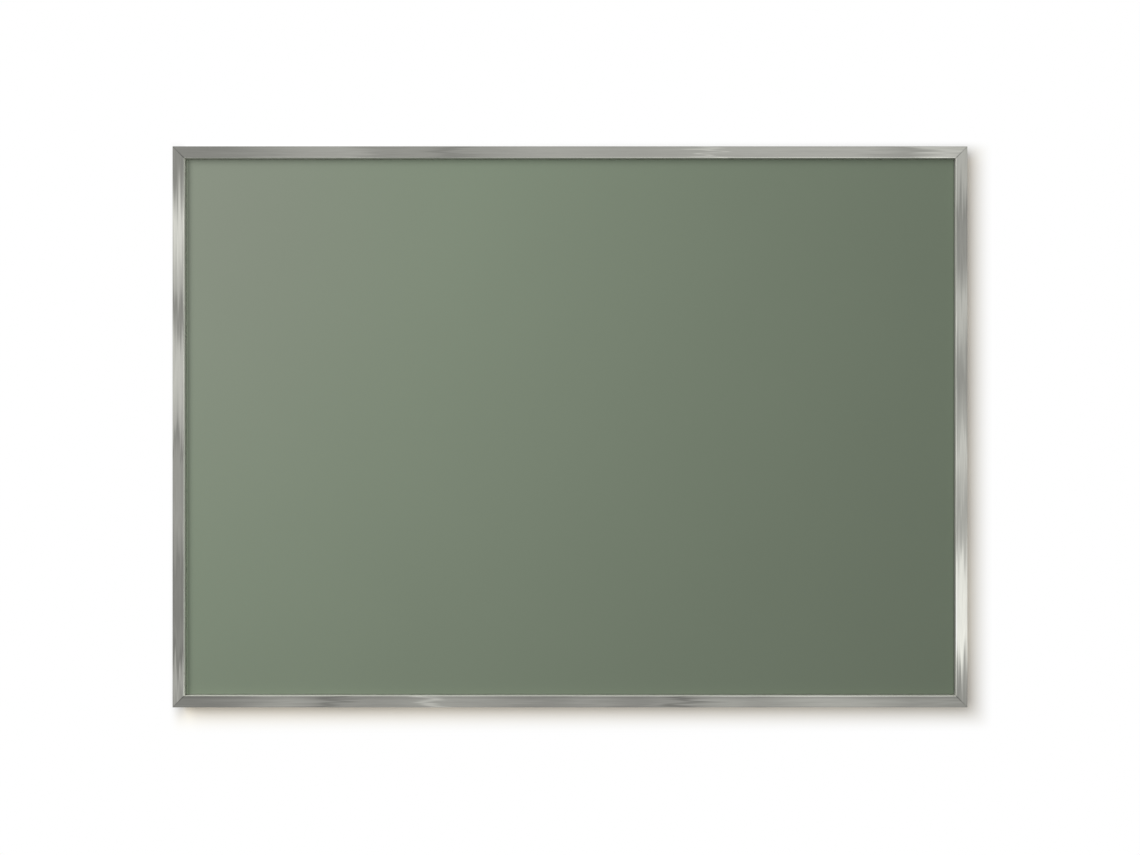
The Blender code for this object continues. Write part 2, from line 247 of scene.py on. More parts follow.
wall_finish = bpy.data.materials.new("white_wall")
wall_finish.use_nodes = True
tree = wall_finish.node_tree
tree.nodes.clear()
x, y, z = axes(add(tree, "ShaderNodeTexCoord").outputs["Object"])
right = minus(x, board_width / 2)
left = minus(-board_width / 2, x)
above = minus(z, board_height / 2)
below = minus(-board_height / 2, z)
below = maths("MULTIPLY_ADD", plus(x, board_width / 2), shadow_lean, below)
in_shadow = blended(1, 0, maths("SMOOTH_MAX", right, below, shadow_corner), *shadow_fade)
in_open = blended(1, 0, maths("MAXIMUM", left, above), *open_fade)
whiteness = minus(1.0, times(in_shadow, in_open))
colour = output(tree, "ShaderNodeRGB")
colour.default_value = shade_colour
# Painted shade: the last two colours grey the wall along the top and left edges of the board.
for share, one in (
    (whiteness, wall_colour),
    (blended(0, in_shadow, above, painted_shade_from, 0), top_painted_shade),
    (blended(0, in_shadow, left, painted_shade_from, 0), left_painted_shade),
):
    inputs = {"Factor": share, 6: colour, 7: one}
    colour = add(tree, "ShaderNodeMix", inputs, data_type="RGBA").outputs[2]
lit = output(tree, "ShaderNodeBsdfDiffuse", {"Color": colour})
glow = output(tree, "ShaderNodeEmission", {"Color": white, "Strength": 1.0})
surface = output(tree, "ShaderNodeMixShader", {0: whiteness, 1: lit, 2: glow})
ray = add(tree, "ShaderNodeLightPath").outputs["Is Camera Ray"]
behind = add(tree, "ShaderNodeNewGeometry").outputs["Backfacing"]
shown = times(ray, minus(1.0, behind))
clear = output(tree, "ShaderNodeBsdfTransparent")
surface = output(tree, "ShaderNodeMixShader", {0: shown, 1: clear, 2: surface})
add(tree, "ShaderNodeOutputMaterial", {"Surface": surface})
wall_mesh.materials.append(wall_finish)
print(f"wall {2 * wall_reach} m square")

# %% [markdown]
# ## Tools for shapes
#
# Most pieces are long shapes of one section, or stampings of one thickness. The section is drawn
# as a closed line with filleted corners, as a toolmaker draws it, and what comes out of modifiers
# or node trees is kept as a plain mesh.


# %% Helpers for outlines
def arc(centre, radius, start, end, steps):
    """Points on an arc from one angle to another, in degrees, both ends included."""
    turns = [math.radians(start + (end - start) * i / steps) for i in range(steps + 1)]
    return [(centre[0] + radius * math.cos(t), centre[1] + radius * math.sin(t)) for t in turns]


def filleted(corners, steps=8):
    """A closed outline whose corners (x, y, radius) are rounded."""
    points = []
    spots = [Vector(corner[:2]) for corner in corners]
    for i, (spot, (_, _, radius)) in enumerate(zip(spots, corners)):
        before = (spots[i - 1] - spot).normalized()
        after = (spots[(i + 1) % len(spots)] - spot).normalized()
        half_angle = before.angle(after) / 2
        centre = spot + (before + after).normalized() * radius / math.sin(half_angle)
        first = spot + before * radius / math.tan(half_angle) - centre
        last = spot + after * radius / math.tan(half_angle) - centre
        start = math.degrees(math.atan2(first.y, first.x))
        sweep = (math.degrees(math.atan2(last.y, last.x)) - start + 180) % 360 - 180
        points += arc(centre, radius, start, start + sweep, steps)
    return points


def outline(name, loops):
    """A curve object that holds each loop of points as one line."""
    curve = bpy.data.curves.new(name, "CURVE")
    curve.dimensions = "3D"
    for points in loops:
        line = curve.splines.new("POLY")
        line.points.add(len(points) - 1)
        for spot, point in zip(line.points, points):
            spot.co = (*point, 0, 1)
        line.use_cyclic_u = True
    return linked(name, curve)


def upright(spot):
    """The matrix that stands a flat drawing up, facing along Y, with its origin at a spot."""
    return Matrix.Translation(spot) @ Matrix.Rotation(math.pi / 2, 4, "X")


# %% Helpers that settle a shape
bevelled_from = math.radians(30)
sharp_from = math.radians(40)


def discard(obj):
    """Takes an object out of the scene."""
    bpy.data.objects.remove(obj, do_unlink=True)


def plain(holder):
    """What the modifiers of an object make, kept as a plain mesh under the same name."""
    name = holder.name
    graph = bpy.context.evaluated_depsgraph_get()
    mesh = bpy.data.meshes.new_from_object(holder.evaluated_get(graph))
    discard(holder)
    mesh.name = name
    return linked(name, mesh)


def combined(obj, cutter_mesh, operation="DIFFERENCE"):
    """An object after one Boolean step with the given mesh."""
    cutter = linked("cutter", cutter_mesh)
    step = obj.modifiers.new("cut", "BOOLEAN")
    step.operation = operation
    step.solver = "EXACT"
    step.object = cutter
    obj = plain(obj)
    discard(cutter)
    return obj


def edges_broken(obj, width=0.0, segments=2):
    """Rounds the sharp edges a little and keeps the flat faces flat in the shading."""
    if width:
        step = obj.modifiers.new("edge_break", "BEVEL")
        step.width = width
        step.segments = segments
        step.limit_method = "ANGLE"
        step.angle_limit = bevelled_from
    obj.data.shade_smooth()
    if not width:
        obj.data.set_sharp_from_angle(angle=sharp_from)
    shading = obj.modifiers.new("flat_faces", "WEIGHTED_NORMAL")
    shading.keep_sharp = True
    return plain(obj)


def mesh_of(work, name):
    """A new mesh from a bmesh that is done with."""
    mesh = bpy.data.meshes.new(name)
    work.to_mesh(mesh)
    work.free()
    return mesh


def drills(spots, radius, start_y, end_y, segments=32):
    """One mesh of round cutters along Y through the given (x, z) spots."""
    work = bmesh.new()
    size = {"radius1": radius, "radius2": radius, "depth": end_y - start_y}
    for x, z in spots:
        matrix = upright((x, (start_y + end_y) / 2, z))
        bmesh.ops.create_cone(work, cap_ends=True, segments=segments, matrix=matrix, **size)
    return mesh_of(work, "drills")


def on_board(piece, slot, *nodes, finish=None):
    if finish:
        piece.data.materials.clear()
        piece.data.materials.append(finish)
    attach(piece, "board")
    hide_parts(*nodes)
    size = " x ".join(f"{1000 * side:.1f}" for side in piece.dimensions)
    print(f"{piece.name}: {len(piece.data.polygons)} faces, {size} mm, for {len(nodes)} node(s)")


# %% [markdown]
# ## A tree of nodes with named sizes
#
# A Geometry Nodes tree is a small machine with dials. Each tree below has its sizes as named
# inputs, each set to its usual value, so that one tree makes a long rail, a short strap or a flat
# angle. A dial is turned through its socket's identifier, because two sockets may share a name.


# %% Helpers for Geometry Nodes
weld_distance = 1e-6
number_sockets = {float: "NodeSocketFloat", int: "NodeSocketInt"}


def sized_tree(name, **dials):
    """A new tree with a geometry input and a dial for each size, its input sockets and its output."""
    tree = bpy.data.node_groups.new(name, "GeometryNodeTree")
    tree.interface.new_socket("Geometry", in_out="INPUT", socket_type="NodeSocketGeometry")
    for label, usual in dials.items():
        kind = number_sockets.get(type(usual), "NodeSocketObject")
        tree.interface.new_socket(label, in_out="INPUT", socket_type=kind).default_value = usual
    tree.interface.new_socket("Geometry", in_out="OUTPUT", socket_type="NodeSocketGeometry")
    return tree, tree.nodes.new("NodeGroupInput").outputs, tree.nodes.new("NodeGroupOutput").inputs[0]


def shaped(holder, tree, **dials):
    """Runs a tree on an object, with some dials changed, and keeps the result as a plain mesh."""
    step = holder.modifiers.new(tree.name, "NODES")
    step.node_group = tree
    for item in tree.interface.items_tree:
        if item.in_out == "INPUT" and item.name != "Geometry":
            step[item.identifier] = dials.get(item.name, item.default_value)
    return plain(holder)


def position(tree):
    """The three coordinates of each point."""
    return axes(output(tree, "GeometryNodeInputPosition"))


def moved(geometry, x, y, z):
    """Takes each point to new coordinates."""
    tree = geometry.id_data
    inputs = {"Geometry": geometry, "Position": vector(tree, x, y, z)}
    return output(tree, "GeometryNodeSetPosition", inputs)


def turned_part(geometry, radius, height):
    """Widens a ball or a bar of radius 1 as a lathe would, and sets the height of each point."""
    x, y, _ = position(geometry.id_data)
    return moved(geometry, times(x, radius), times(y, radius), height)


# %% [markdown]
# ## The extruded section
#
# A rail is pressed through a die and sawn to length, so its shape follows one rule: the same
# section all along, with both ends cut on the slant. The tree fills the drawn section, extrudes
# it, and then slides each end back by as much as the point lies inward. With the mitre dial at 0
# the same tree makes square ends, which is what the stamped pieces need.

# %% Tree for a length of section
section_tree, given, result = sized_tree("extruded_section", length=1.0, mitre=0.0, end_gap=0.0)
tree = section_tree
face = output(tree, "GeometryNodeFillCurve", {"Curve": given["Geometry"]}, mode="NGONS")
inputs = {"Mesh": face, "Offset Scale": given["length"], "Individual": False}
body = output(tree, "GeometryNodeExtrudeMesh", inputs)
foot = output(tree, "GeometryNodeFlipFaces", {"Mesh": face})
both = output(tree, "GeometryNodeJoinGeometry", {0: [foot, body]})
solid = output(tree, "GeometryNodeMergeByDistance", {"Geometry": both, "Distance": weld_distance})
x, y, z = position(tree)
half = times(given["length"], 0.5)
reach = minus(minus(half, times(x, given["mitre"])), given["end_gap"])
end = maths("SIGN", minus(z, half))
tree.links.new(moved(solid, x, y, times(end, reach)), result)
print(f"{tree.name}: {len(tree.nodes)} nodes")

# %% [markdown]
# ## Brushed metal
#
# The rails are brushed along their length. Seen close, such a face is a bundle of fine grooves,
# each a few tenths of a millimetre wide and centimetres long. Noise stretched some seventy times
# along the rail makes them, and a second, wider noise makes the soft streaks that show from a
# distance. The metal also reflects brighter and darker places of the room, with ragged ends where
# the grooves drag them out, so each rail gets a few soft patches of painted reflection. Each rail's
# own tone is painted reflection too. The face also has a painted highlight along its inner front
# edge, a thin painted shade line just outside it, and painted shade on its outer round. Along the
# saw cuts the metal is dull, which draws the mitre as a thin dark line.
#
# The side that faces the green sheet was never brushed. It has the smooth, dull skin that the die
# leaves, which starts just behind the small round of the front edge. Its light and shade are
# painted, with tones set for each rail: near the front a tone for how each side is lit, with a
# painted highlight on the left rail, and one change of tone on its way back, to painted shade beside
# the sheet on all rails but the top. It is darker on the ledge.


# %% Helpers for finishes
def finish_of(name, roughness, metallic):
    """A material, its tree, its shader and its Object coordinates."""
    made = bpy.data.materials.new(name)
    made.use_nodes = True
    tree = made.node_tree
    shader = tree.nodes["Principled BSDF"]
    shader.inputs["Roughness"].default_value = roughness
    shader.inputs["Metallic"].default_value = metallic
    return made, tree, shader, add(tree, "ShaderNodeTexCoord").outputs["Object"]


def noise(place, grain, detail=2.0, roughness=0.5):
    """Noise from 0 to 1; the grain is its features per metre, one number or one for each axis."""
    scale = grain if isinstance(grain, tuple) else (grain, grain, grain)
    spread = output(place.id_data, "ShaderNodeMapping", {"Vector": place, "Scale": scale})
    inputs = {"Vector": spread, "Scale": 1.0, "Detail": detail, "Roughness": roughness}
    return add(place.id_data, "ShaderNodeTexNoise", inputs).outputs["Fac"]


def around_one(value, amount):
    """Turns noise from 0 to 1 into a factor that stays near 1."""
    return maths("MULTIPLY_ADD", value, 2 * amount, 1.0 - amount)


def feed(shader, name, value):
    """Links a value to an input of the shader."""
    shader.id_data.links.new(value, shader.inputs[name])


def tinted(shader, colour, factor):
    """Base colour times a factor, all three channels alike."""
    inputs = {0: vector(shader.id_data, *colour), "Scale": factor}
    scaled = output(shader.id_data, "ShaderNodeVectorMath", inputs, operation="SCALE")
    feed(shader, "Base Color", scaled)


def uneven(shader, value, spread):
    """A roughness that varies with noise around the one that the shader has."""
    usual = shader.inputs["Roughness"].default_value
    return maths("MULTIPLY_ADD", value, spread, usual - spread / 2)


def bumped(shader, height, distance):
    """A fine relief, its depth in metres."""
    inputs = {"Height": height, "Distance": distance, "Strength": 1.0}
    feed(shader, "Normal", output(shader.id_data, "ShaderNodeBump", inputs))


# %% Finish of a rail
face_width = 0.0127
edge_radius = 0.0012
inner_radius = 0.0004
metal_colour = (1.0, 1.0, 0.92)
metal_roughness = 0.34
groove_grain = (60, 4200, 4200)
groove_shade = 0.14
groove_depth = 0.00002
streak_grain = (9, 600, 600)
streak_shade = 0.13
streak_gloss = 0.12
drag_grain = (14, 420, 420)
drag_reach = 0.09
shade_line_inset = 0.0021
shade_line_width = 0.0018
saw_reach = 0.0008
saw_tones = (0.93, 0.55)
highlight_change = (0.2, 0.9)
skin_metallic = 0.45
skin_roughness = 0.55
skin_change = 0.0005
ledge_tone = 0.42
ledge_from = 0.0070
rail_directions = {
    "top": ("X", "Z", 1, -1),
    "bottom": ("X", "Z", 1, 1),
    "left": ("Z", "X", -1, 1),
    "right": ("Z", "X", -1, -1),
}


def rail_finish(side, tone, reflection_patches, outer_edge_shade, inner_shade_line, inner_edge_highlight, painted_skin_tones):
    """Brushed metal whose grain runs along one rail.

    Each reflection patch is its place and its reach, both as shares of the rail's length, and its
    lift, a painted reflection. The painted highlight on the inner edge has a tone at each end, and the
    skin's painted light and shade is a tone, a depth where it ends, and a tone.
    """
    made, tree, shader, place = finish_of(f"brushed_rail_{side}", metal_roughness, 1.0)
    split = axes(place)
    lengthwise, crosswise, forward, sign = rail_directions[side]
    length, breadth = (board_width, board_height) if lengthwise == "X" else (board_height, board_width)
    inward = maths("MULTIPLY_ADD", split[crosswise], sign, breadth / 2)
    along = maths("MULTIPLY_ADD", split[lengthwise], forward, length / 2)
    depth = minus(split["Y"], front_y)
    grain_place = vector(tree, along, inward, split["Y"])
    grooves = noise(grain_place, groove_grain, detail=3.0)
    streaks = noise(grain_place, streak_grain)
    drag = noise(grain_place, drag_grain, detail=1.0)
    dragged = maths("MULTIPLY_ADD", minus(drag, 0.5), drag_reach, along)
    # painted reflection: brighter and darker patches along the rail
    for share, reach, lift in reflection_patches:
        distance = maths("ABSOLUTE", minus(dragged, share * length))
        tone = plus(tone, blended(lift, 0, distance, 0, 2 * reach * length))
    # a thin painted shade line on the face, just outside the round of the inner edge
    from_shade_line = maths("ABSOLUTE", minus(inward, face_width - shade_line_inset))
    # painted highlight along the inner front edge, its strength changing along the rail
    edge_highlight_tone = blended(*inner_edge_highlight, along, highlight_change[0] * length, highlight_change[1] * length)
    at_highlight_edge = blended(0, 1, inward, face_width - 0.7 * edge_radius, face_width - 0.3 * edge_radius)
    to_end = maths("MINIMUM", along, minus(length, along))
    from_saw = times(minus(to_end, inward), math.sqrt(0.5))
    saw_tone = blended(*saw_tones, inward, 0, face_width)
    tone = times(
        tone,
        around_one(grooves, groove_shade),
        around_one(streaks, streak_shade),
        # painted shade on the rounded outer edge
        blended(outer_edge_shade, 1, inward, 0, 1.5 * edge_radius),
        blended(inner_shade_line, 1, from_shade_line, 0, shade_line_width / 2),
        mixed(1.0, edge_highlight_tone, at_highlight_edge),
        blended(saw_tone, 1, from_saw, 0.2 * saw_reach, saw_reach),
    )
    behind_edge = blended(0, 1, depth, 0.4 * inner_radius, inner_radius)
    skin_start = face_width - 0.6 * inner_radius
    on_side = blended(0, 1, inward, skin_start, skin_start + 0.4 * inner_radius)
    on_skin = times(behind_edge, on_side)
    # painted light and shade: each rail's inner side has a painted tone near the front and another
    # deeper in, beside the sheet
    front_tone, change_depth, back_tone = painted_skin_tones
    painted_skin_tone = blended(front_tone, back_tone, depth, change_depth - skin_change, change_depth)
    painted_skin_tone = mixed(painted_skin_tone, ledge_tone, maths("GREATER_THAN", depth, ledge_from))
    tinted(shader, metal_colour, mixed(tone, painted_skin_tone, on_skin))
    feed(shader, "Metallic", mixed(1.0, skin_metallic, on_skin))
    feed(shader, "Roughness", mixed(uneven(shader, streaks, streak_gloss), skin_roughness, on_skin))
    bumped(shader, mixed(grooves, 0.5, on_skin), groove_depth)
    return made


# Each rail's tone is painted reflection: how brightly that rail reflects the room, not a different
# metal.
rail_looks = {
    "top": dict(
        tone=0.40, outer_edge_shade=0.80, inner_shade_line=0.97, inner_edge_highlight=(1.3, 1.85), painted_skin_tones=(0.58, 0.0044, 0.69),
        reflection_patches=[
            (0.035, 0.10, -0.16), (0.228, 0.015, 0.022), (0.26, 0.018, -0.03), (0.33, 0.10, -0.11),
            (0.348, 0.015, -0.05), (0.58, 0.08, -0.05), (0.678, 0.007, 0.12), (0.924, 0.03, -0.075),
            (0.966, 0.023, 0.13),
        ],
    ),
    "bottom": dict(
        tone=0.249, outer_edge_shade=0.85, inner_shade_line=0.70, inner_edge_highlight=(1.15, 1.85), painted_skin_tones=(0.88, 0.0042, 0.57),
        reflection_patches=[
            (0.03, 0.033, -0.04), (0.14, 0.032, 0.083), (0.203, 0.011, -0.052), (0.232, 0.012, 0.025),
            (0.321, 0.01, 0.14), (0.343, 0.077, 0.085), (0.526, 0.028, 0.053), (0.615, 0.012, 0.03),
            (0.645, 0.010, -0.058), (0.692, 0.025, 0.086), (0.825, 0.08, 0.134), (0.969, 0.023, 0.055),
        ],
    ),
    "left": dict(
        tone=0.31, outer_edge_shade=0.90, inner_shade_line=0.86, inner_edge_highlight=(1.25, 1.6), painted_skin_tones=(1.75, 0.0044, 0.60),
        reflection_patches=[
            (0.056, 0.048, -0.22), (0.129, 0.084, 0.35), (0.31, 0.033, -0.175), (0.385, 0.10, 0.205),
            (0.53, 0.019, -0.09), (0.675, 0.015, 0.02), (0.75, 0.02, -0.03), (0.832, 0.10, -0.09),
            (0.868, 0.012, 0.02), (0.912, 0.012, -0.045), (0.957, 0.02, 0.10),
        ],
    ),
    "right": dict(
        tone=0.28, outer_edge_shade=0.85, inner_shade_line=0.92, inner_edge_highlight=(1.4, 1.35), painted_skin_tones=(0.85, 0.0020, 0.32),
        reflection_patches=[
            (0.025, 0.053, 0.145), (0.115, 0.02, -0.025), (0.299, 0.056, 0.20), (0.546, 0.03, 0.077),
            (0.566, 0.094, 0.183), (0.75, 0.025, 0.085), (0.818, 0.086, 0.52), (0.893, 0.03, 0.20),
        ],
    ),
}
rail_finishes = {side: rail_finish(side, **look) for side, look in rail_looks.items()}
print(f"{len(rail_finishes)} rail finishes")

# %% [markdown]
# ## The frame rails
#
# The section has a closed chamber in front, a thin ledge that the tray lies against, and an open
# channel at the back with two lips, where the corner angles are caught. The outer front edge is
# rounded more than the rest, because hands and cleaning cloths meet it. Where two rails meet
# there is only a hairline, and the sawn edges are broken by a tenth of a millimetre.

# %% Rail section
rail_wall = 0.0015
web_front = 0.0140
web_back = 0.0155
lip_front = 0.0188
frame_depth = 0.0200
lip_reach = 0.0022
ledge_end = 0.0267
trim_radius = 0.0004
root_radius = 0.0005

inner = face_width - rail_wall
rail_outline = [
    (0, 0, edge_radius),
    (face_width, 0, inner_radius),
    (face_width, web_front, root_radius),
    (ledge_end, web_front, trim_radius),
    (ledge_end, web_back, trim_radius),
    (face_width, web_back, root_radius),
    (face_width, frame_depth, trim_radius),
    (inner - lip_reach, frame_depth, trim_radius),
    (inner - lip_reach, lip_front, trim_radius),
    (inner, lip_front, root_radius / 2),
    (inner, web_back, root_radius / 2),
    (rail_wall, web_back, root_radius / 2),
    (rail_wall, lip_front, root_radius / 2),
    (rail_wall + lip_reach, lip_front, trim_radius),
    (rail_wall + lip_reach, frame_depth, trim_radius),
    (0, frame_depth, trim_radius),
]
rail_chamber = [
    (rail_wall, rail_wall, root_radius),
    (inner, rail_wall, root_radius),
    (inner, web_front, root_radius),
    (rail_wall, web_front, root_radius),
]
low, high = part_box("frame_rail_top")
print(f"ledge reaches {ledge_end:.4f} m, in the CAD {high.z - low.z:.4f} m")


# %% The screws' places
def middle(node):
    """The centre of a CAD node."""
    low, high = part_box(node)
    return (low + high) / 2


def spots_of(nodes):
    """Where the centres of CAD nodes lie in the plane of the board."""
    return [(middle(node).x, middle(node).z) for node in nodes]


def nodes_named(start):
    """The CAD nodes whose names begin like that."""
    return sorted(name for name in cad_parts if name.startswith(start))


panel_screws = nodes_named("panel_screw_")
hanger_screws = nodes_named("hanger_screw_")
hole_radius = 0.0017
print(f"{len(panel_screws)} panel screws, {len(hanger_screws)} hanger screws")

# %% Four mitred rails
mitre_gap = 0.00006
saw_edge = 0.00010
ledge_drill = (front_y + web_front - rail_wall / 2, front_y + web_back + rail_wall)

along_x, along_y, along_z = Vector((1, 0, 0)), Vector((0, 1, 0)), Vector((0, 0, 1))
inward_axes = {"top": -along_z, "bottom": along_z, "left": along_x, "right": -along_x}
for side, inwards in inward_axes.items():
    lengthwise = inwards.cross(along_y)
    length, breadth = (board_width, board_height) if lengthwise.x else (board_height, board_width)
    start = front_y * along_y - inwards * breadth / 2
    section = outline(f"rail_{side}", [filleted(rail_outline), filleted(rail_chamber)])
    rail = shaped(section, section_tree, length=length, mitre=1.0, end_gap=mitre_gap / math.sqrt(2))
    turn = Matrix((inwards, along_y, lengthwise)).transposed().to_4x4()
    rail.data.transform(Matrix.Translation(start) @ turn)
    rail = combined(rail, drills(spots_of(panel_screws + hanger_screws), hole_radius, *ledge_drill))
    rail = edges_broken(rail, saw_edge)
    on_board(rail, "brushed_rail", f"frame_rail_{side}", finish=rail_finishes[side])

# %% [markdown]
# ## Powder coat
#
# The steel face is powder coated: the paint goes on as dust and melts in an oven, which leaves a
# satin film with a faint unevenness called orange peel. The colour itself is very even; towards the
# upper left corner a painted sheen makes it a touch greyer, and painted shade a touch darker. Along
# the folded edge a painted highlight makes the paint a little lighter, most of all on the left. The
# CAD keeps the tray 0.4 mm clear of the rails. The real one is pushed home, so here it fills the
# opening to 0.1 mm.

# %% Finish of the tray
tray_edge_gap = 0.0001
tray_width = board_width - 2 * (face_width + tray_edge_gap)
tray_height = board_height - 2 * (face_width + tray_edge_gap)
bend_radius = 0.0010
fold_highlight = 1.15
left_highlight = 1.5
sage_red, sage_green, sage_blue = 0.153, 0.188, 0.135
painted_corner_green = 0.175
painted_corner_level = 0.97
painted_corner_width = 0.35
painted_corner_height = 0.50
paint_roughness = 0.46
paint_specular = 0.3
cloud_shade = 0.02
speckle_shade = 0.03
peel_gloss = 0.08
peel_depth = 0.00001

sage_paint, tree, shader, place = finish_of("sage_powder_coat", paint_roughness, 0.0)
shader.inputs["Specular IOR Level"].default_value = paint_specular
clouds = noise(place, 7, detail=3.0)
speckle = noise(place, 1500, detail=1.0)
peel = noise(place, 420)
x, y, z = axes(place)
side_x = minus(tray_width / 2, maths("ABSOLUTE", x))
side_z = minus(tray_height / 2, maths("ABSOLUTE", z))
from_fold = maths("MINIMUM", side_x, side_z)
from_left = plus(x, tray_width / 2)
across = maths("DIVIDE", from_left, painted_corner_width)
down = maths("DIVIDE", minus(tray_height / 2, z), painted_corner_height)
inputs = {0: vector(tree, across, 0.0, down)}
from_painted_corner = add(tree, "ShaderNodeVectorMath", inputs, operation="LENGTH").outputs["Value"]
# painted sheen and shade towards the upper left corner: greyer and a touch darker
green = blended(painted_corner_green, sage_green, from_painted_corner, 0, 1)
tone = times(
    around_one(clouds, cloud_shade),
    around_one(speckle, speckle_shade),
    blended(painted_corner_level, 1, from_painted_corner, 0, 1),
    # painted highlight along the folded edge, stronger in a strip on the left
    blended(fold_highlight, 1.0, from_fold, 0.3 * bend_radius, 1.3 * bend_radius),
    blended(left_highlight, 1.0, from_left, 1.7 * bend_radius, 2.8 * bend_radius),
)
tinted(shader, (sage_red, green, sage_blue), tone)
feed(shader, "Roughness", uneven(shader, peel, peel_gloss))
bumped(shader, peel, peel_depth)
print(f"{sage_paint.name}: {len(tree.nodes)} nodes")

# %% [markdown]
# ## The steel tray
#
# The face is one sheet with its four sides folded back, and each folded corner keeps a narrow slit
# where the flanges meet. A box without its back, with rounded edges and a thickness put on it by
# Solidify, gives the even wall that folded sheet has.

# %% The tray
sheet_thickness = 0.0008
recess_depth = 0.0058
package_depth = 0.0079
bend_steps = 8
corner_slit = 0.0004

work = bmesh.new()
bmesh.ops.create_cube(work, size=1)
bmesh.ops.scale(work, vec=(tray_width, package_depth, tray_height), verts=work.verts)
rear = max(work.faces, key=lambda face: face.calc_center_median().y)
rim = set(rear.edges)
bmesh.ops.delete(work, geom=[rear], context="FACES_ONLY")
folds = [edge for edge in work.edges if edge not in rim]
bmesh.ops.bevel(work, geom=folds, offset=bend_radius, segments=bend_steps, profile=0.5, affect="EDGES")
bmesh.ops.translate(work, vec=(0, front_y + recess_depth + package_depth / 2, 0), verts=work.verts)
bmesh.ops.recalc_face_normals(work, faces=work.faces)
if min(work.faces, key=lambda face: face.calc_center_median().y).normal.y > 0:
    bmesh.ops.reverse_faces(work, faces=work.faces)
tray = linked("tray", mesh_of(work, "tray"))
shell = tray.modifiers.new("sheet", "SOLIDIFY")
shell.thickness = sheet_thickness
shell.offset = -1
shell.use_even_offset = True
tray = plain(tray)

work = bmesh.new()
slit_front = front_y + recess_depth + 2 * bend_radius
slit_back = front_y + recess_depth + package_depth + bend_radius
for x_sign, z_sign in corner_signs:
    spot = (x_sign * tray_width / 2, (slit_front + slit_back) / 2, z_sign * tray_height / 2)
    turn = Matrix.Rotation(-x_sign * z_sign * math.pi / 4, 4, "Y")
    size = Matrix.Diagonal((4 * bend_radius, slit_back - slit_front, corner_slit, 1))
    bmesh.ops.create_cube(work, size=1, matrix=Matrix.Translation(spot) @ turn @ size)
tray = edges_broken(combined(tray, mesh_of(work, "slits")))
on_board(tray, "sage_paint", "face_tray", finish=sage_paint)

# %% [markdown]
# ## Finishes of the hidden pieces
#
# Behind the face everything is plain workshop stock. The backing sheet is galvanised, and its zinc
# has frozen in flat crystals that each shine a little differently: a Voronoi pattern, with fine
# ribs that run out from the middle of each crystal. Screws, angles and straps are zinc plated and
# nearly white, with faint blotches and handling scratches. The rings are nickel plated wire, the
# core is pressed wood fibre, and the bumpers are rubber.

# %% Galvanised sheet
crystals_per_metre = 120.0
crystal_wobble = 0.006
crystal_shade = 0.09
crystal_gloss = 0.16
ferns_per_turn = 9.0
fern_waver = 3.0
fern_shade = 0.025
frost_shade = 0.05
frost_depth = 0.00001
stain_shade = 0.07
spangle_colour = (0.53, 0.54, 0.54)
spangle_roughness = 0.42

galvanised, tree, shader, place = finish_of("zinc_spangle", spangle_roughness, 1.0)
cell_place = output(tree, "ShaderNodeMapping", {"Vector": place, "Scale": (1, 0, 1)})
inputs = {0: noise(cell_place, 60), 1: (crystal_wobble, 0, crystal_wobble), 2: cell_place}
shifted = output(tree, "ShaderNodeVectorMath", inputs, operation="MULTIPLY_ADD")
inputs = {"Vector": shifted, "Scale": crystals_per_metre}
crystals = add(tree, "ShaderNodeTexVoronoi", inputs).outputs
crystal_tone = add(tree, "ShaderNodeSeparateColor", {0: crystals["Color"]}).outputs
frost = noise(place, 900, detail=3.0)
stains = noise(place, 5, detail=3.0)
inputs = {0: shifted, 1: crystals["Position"]}
x, y, z = axes(output(tree, "ShaderNodeVectorMath", inputs, operation="SUBTRACT"))
angle = maths("ARCTAN2", z, x)
ferns = maths("SINE", maths("MULTIPLY_ADD", angle, ferns_per_turn, times(frost, fern_waver)))
tone = times(
    around_one(crystal_tone[0], crystal_shade),
    around_one(frost, frost_shade),
    around_one(stains, stain_shade),
    maths("MULTIPLY_ADD", ferns, fern_shade, 1.0),
)
tinted(shader, spangle_colour, tone)
feed(shader, "Roughness", uneven(shader, crystal_tone[1], crystal_gloss))
bumped(shader, frost, frost_depth)
print(f"{galvanised.name}: crystals about {1000 / crystals_per_metre:.0f} mm across")


# %% Plated metal, fibreboard and rubber
def grained(name, colour, roughness, fine, coarse, relief, metallic=0.0, gloss=0.0):
    """Stock with a fine grain, which is its relief too, and a coarse one, which may vary the gloss.

    Each grain is its features per metre, its detail, its roughness, and how much it shades.
    """
    made, _, shader, place = finish_of(name, roughness, metallic)
    grains = [noise(place, *grain[:3]) for grain in (fine, coarse)]
    shades = [around_one(value, grain[3]) for value, grain in zip(grains, (fine, coarse))]
    tinted(shader, colour, times(*shades))
    if gloss:
        feed(shader, "Roughness", uneven(shader, grains[1], gloss))
    bumped(shader, grains[0], relief)
    return made


